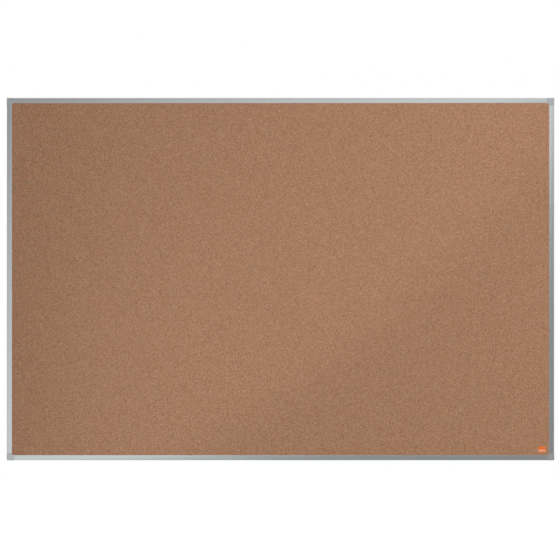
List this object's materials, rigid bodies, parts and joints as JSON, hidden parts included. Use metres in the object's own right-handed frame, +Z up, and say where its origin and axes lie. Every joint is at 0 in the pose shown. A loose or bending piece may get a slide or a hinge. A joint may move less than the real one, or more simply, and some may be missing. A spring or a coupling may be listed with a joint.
{
  "type": "cork bulletin board",
  "caption": "Wall-mounted cork bulletin board: a flat pin-up panel in a slim aluminium frame with pull-off moulded corner caps over its fixing holes.",
  "frame": {"origin": "centre of the four wall-screw holes, on the back plane that lies against the wall", "axes": "+X to the right of someone facing the board, +Y into the wall, +Z up; the cork faces -Y"},
  "size_m": [1.5116, 0.0132, 1.0006],
  "materials": {
    "cork": "matte",
    "softboard": "matte",
    "backing_paper": "matte",
    "frame_aluminium": "satin",
    "bracket_plastic": "matte",
    "cap_plastic": "satin",
    "screw_steel": "satin",
    "label": "satin"
  },
  "bodies": {
    "board": {"cork_sheet": "cork", "fibreboard_core": "softboard", "paper_backing": "backing_paper", "corner_label": "label", "top_rail": "frame_aluminium", "bottom_rail": "frame_aluminium", "left_rail": "frame_aluminium", "right_rail": "frame_aluminium", "top_left_bracket": "bracket_plastic", "top_left_screws": "screw_steel", "top_right_bracket": "bracket_plastic", "top_right_screws": "screw_steel", "bottom_left_bracket": "bracket_plastic", "bottom_left_screws": "screw_steel", "bottom_right_bracket": "bracket_plastic", "bottom_right_screws": "screw_steel"},
    "top_left_cap": {"top_left_cap": "cap_plastic"},
    "top_right_cap": {"top_right_cap": "cap_plastic"},
    "bottom_left_cap": {"bottom_left_cap": "cap_plastic"},
    "bottom_right_cap": {"bottom_right_cap": "cap_plastic"}
  },
  "joints": [
    {"name": "top_left_cap_pull", "type": "slide", "parent": "board", "child": "top_left_cap", "axis": [0, -1, 0], "range_m": [0, 0.025]},
    {"name": "top_right_cap_pull", "type": "slide", "parent": "board", "child": "top_right_cap", "axis": [0, -1, 0], "range_m": [0, 0.025]},
    {"name": "bottom_left_cap_pull", "type": "slide", "parent": "board", "child": "bottom_left_cap", "axis": [0, -1, 0], "range_m": [0, 0.025]},
    {"name": "bottom_right_cap_pull", "type": "slide", "parent": "board", "child": "bottom_right_cap", "axis": [0, -1, 0], "range_m": [0, 0.025]}
  ]
}
